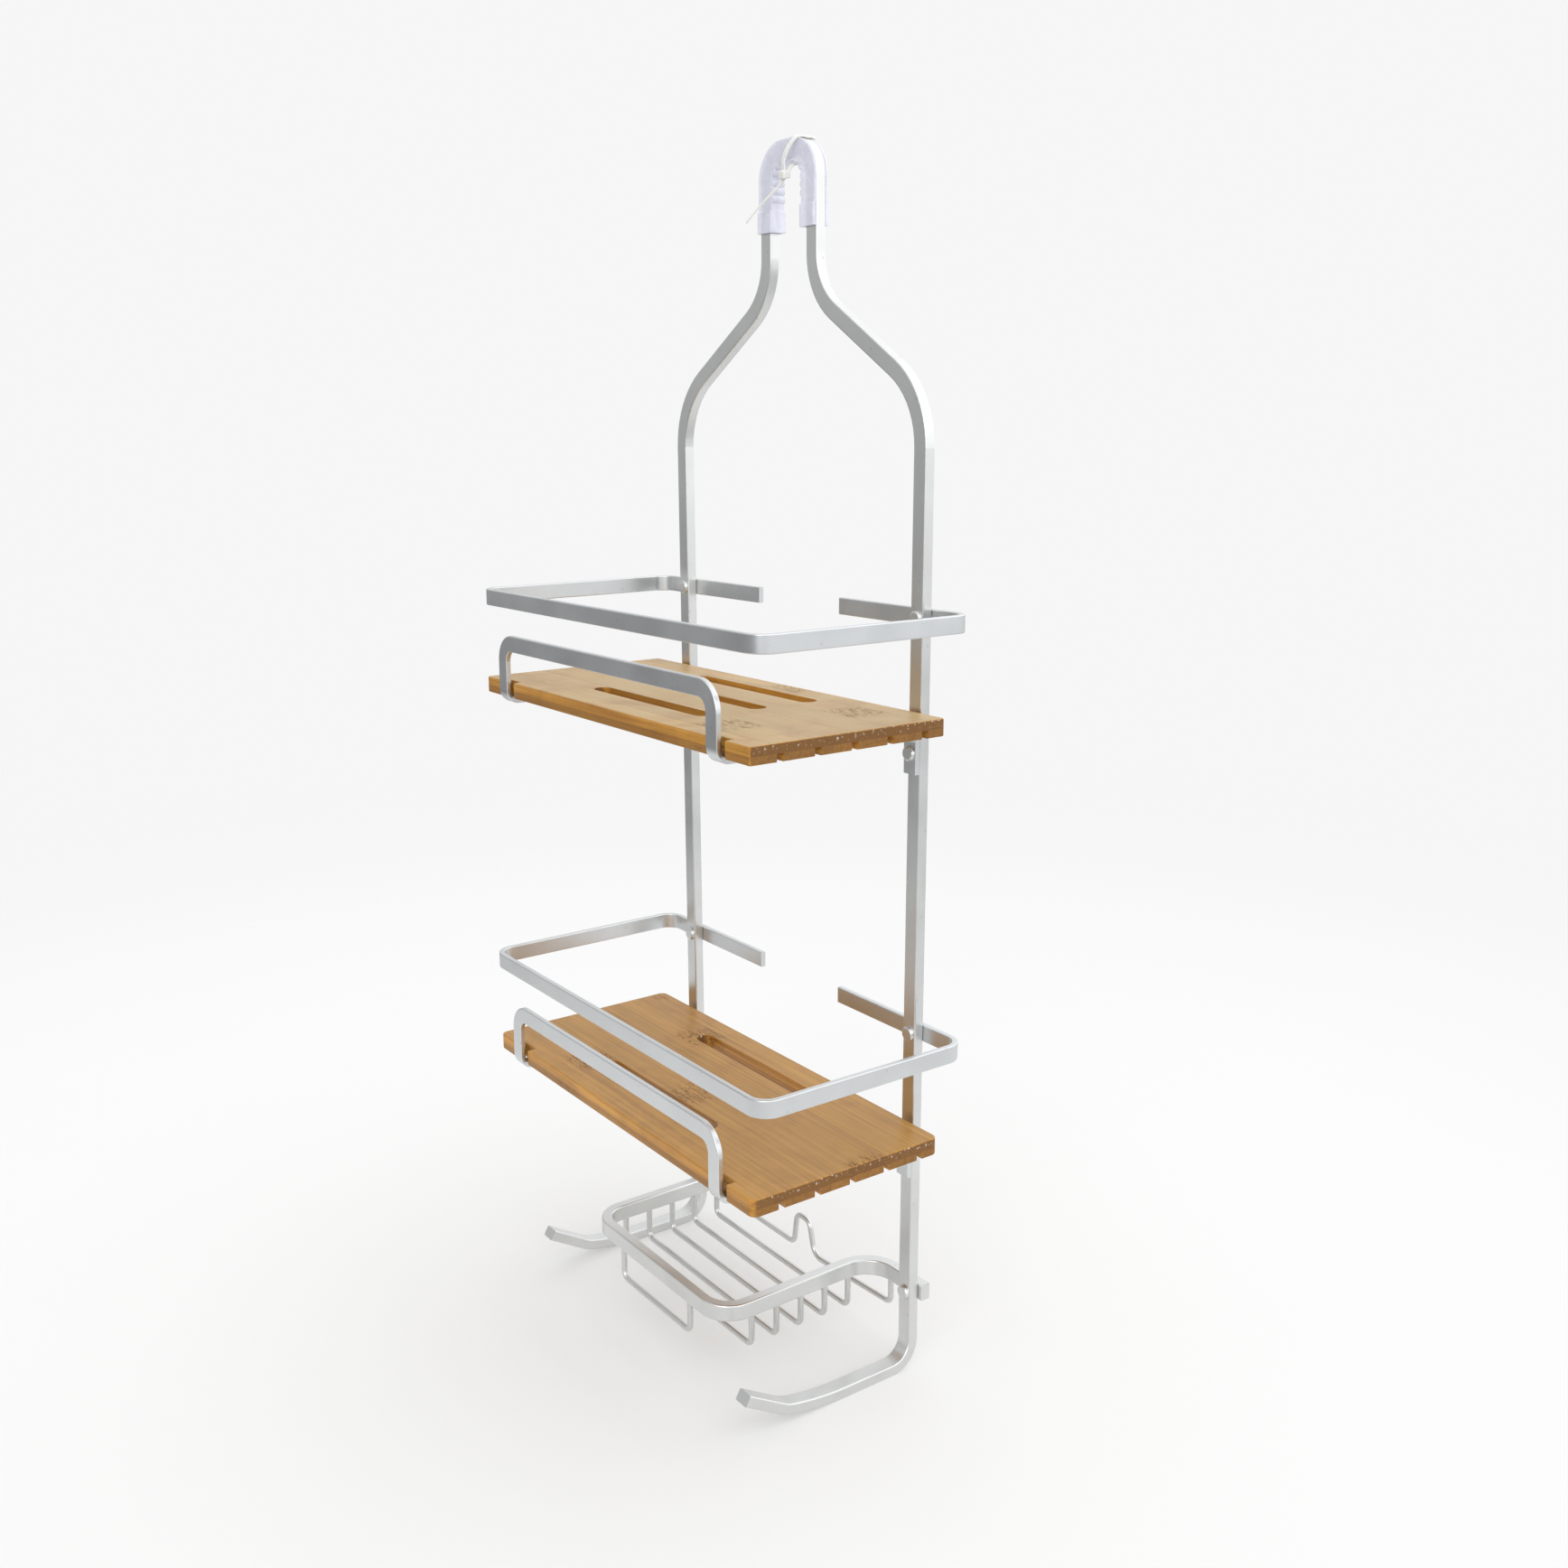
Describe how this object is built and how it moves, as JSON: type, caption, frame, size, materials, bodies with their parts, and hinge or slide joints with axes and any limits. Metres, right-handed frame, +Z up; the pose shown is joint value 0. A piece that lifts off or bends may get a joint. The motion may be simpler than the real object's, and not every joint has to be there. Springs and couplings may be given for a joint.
{
  "type": "shower caddy",
  "caption": "Hanging shower caddy: bent bar frame with a padded loop, slatted bamboo shelves inside flat rails, guard bars, and a wire soap dish above two hook arms.",
  "frame": {"origin": "on the floor plane under the middle of the overall width and depth", "axes": "+Z up, -Y towards the user, +X to the user's right when facing the back"},
  "size_m": [0.287, 0.1439, 0.6833],
  "materials": {
    "frame_bar": "satin brushed",
    "flat_strip": "satin brushed",
    "wire": "satin",
    "rivet": "bright",
    "screw": "plain",
    "bamboo_upper": "lightly oiled",
    "bamboo_lower": "lightly oiled",
    "clear_cover": "translucent soft",
    "nylon": "natural"
  },
  "bodies": {
    "root": {"cable_tie": "nylon", "frame": "frame_bar", "front_wire": "wire", "hook_cover": "clear_cover", "lower_board_screws": "screw", "lower_bracket_rivets": "rivet", "lower_rail_ring": "flat_strip", "lower_ring_rivets": "rivet", "lower_shelf_board": "bamboo_lower", "lower_shelf_bracket": "flat_strip", "rear_wire": "wire", "rim_rivets": "rivet", "side_wire_1": "wire", "side_wire_2": "wire", "side_wire_3": "wire", "side_wire_4": "wire", "side_wire_5": "wire", "soap_dish_rim": "frame_bar", "upper_board_screws": "screw", "upper_bracket_rivets": "rivet", "upper_rail_ring": "flat_strip", "upper_ring_rivets": "rivet", "upper_shelf_board": "bamboo_upper", "upper_shelf_bracket": "flat_strip"}
  },
  "joints": []
}
